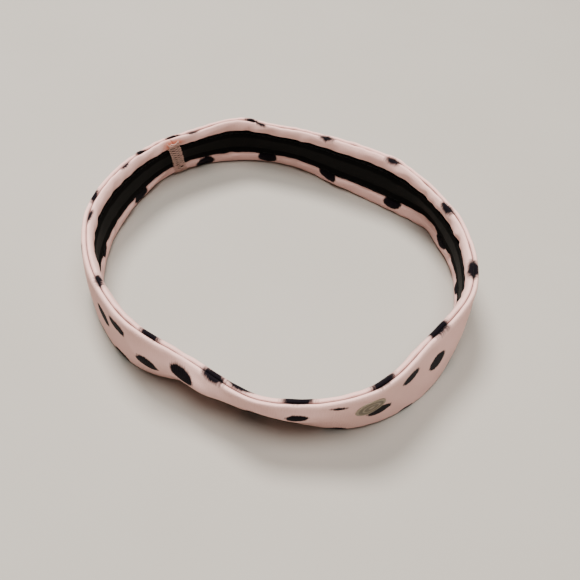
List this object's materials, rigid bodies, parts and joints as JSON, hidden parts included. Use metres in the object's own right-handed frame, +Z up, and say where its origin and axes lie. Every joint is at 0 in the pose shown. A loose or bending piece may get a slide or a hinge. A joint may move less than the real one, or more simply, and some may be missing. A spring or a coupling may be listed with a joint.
{
  "type": "headband",
  "caption": "Stretch knit headband: a spotted knit tube over an elastic core, with a soft grip strip sewn inside, a tacked join and a small foil emblem. It stands on its lower edge.",
  "frame": {"origin": "middle of the footprint, on the surface that the headband stands on", "axes": "+Z up from the lower edge to the upper rim, -Y towards the side that carries the emblem, +X to the right of a viewer who faces that side"},
  "size_m": [0.145, 0.1518, 0.0284],
  "materials": {
    "printed_knit": "fine jersey knit, blush pink printed with dark oval spots",
    "woven_elastic": "ribbed white elastic",
    "grip_ribbon": "short black velvet pile",
    "black_thread": "polyester sewing thread",
    "blush_thread": "polyester sewing thread",
    "silver_foil": "satin silver-gold foil"
  },
  "bodies": {
    "back": {"outer_panel_back": "printed_knit", "inner_panel_back": "printed_knit", "elastic_core_back": "woven_elastic", "rim_seam_lower_back": "blush_thread", "rim_seam_upper_back": "blush_thread", "grip_strip_back": "grip_ribbon", "grip_stitch_lower_back": "black_thread", "grip_stitch_upper_back": "black_thread", "join_zigzag": "blush_thread"},
    "front": {"outer_panel_front": "printed_knit", "inner_panel_front": "printed_knit", "elastic_core_front": "woven_elastic", "rim_seam_lower_front": "blush_thread", "rim_seam_upper_front": "blush_thread", "grip_strip_front": "grip_ribbon", "grip_stitch_lower_front": "black_thread", "grip_stitch_upper_front": "black_thread", "emblem": "silver_foil"}
  },
  "joints": [
    {"name": "stretch", "type": "slide", "parent": "back", "child": "front", "axis": [0, -1, 0], "range_m": [0, 0.06], "stiffness_N_per_m": 130}
  ]
}
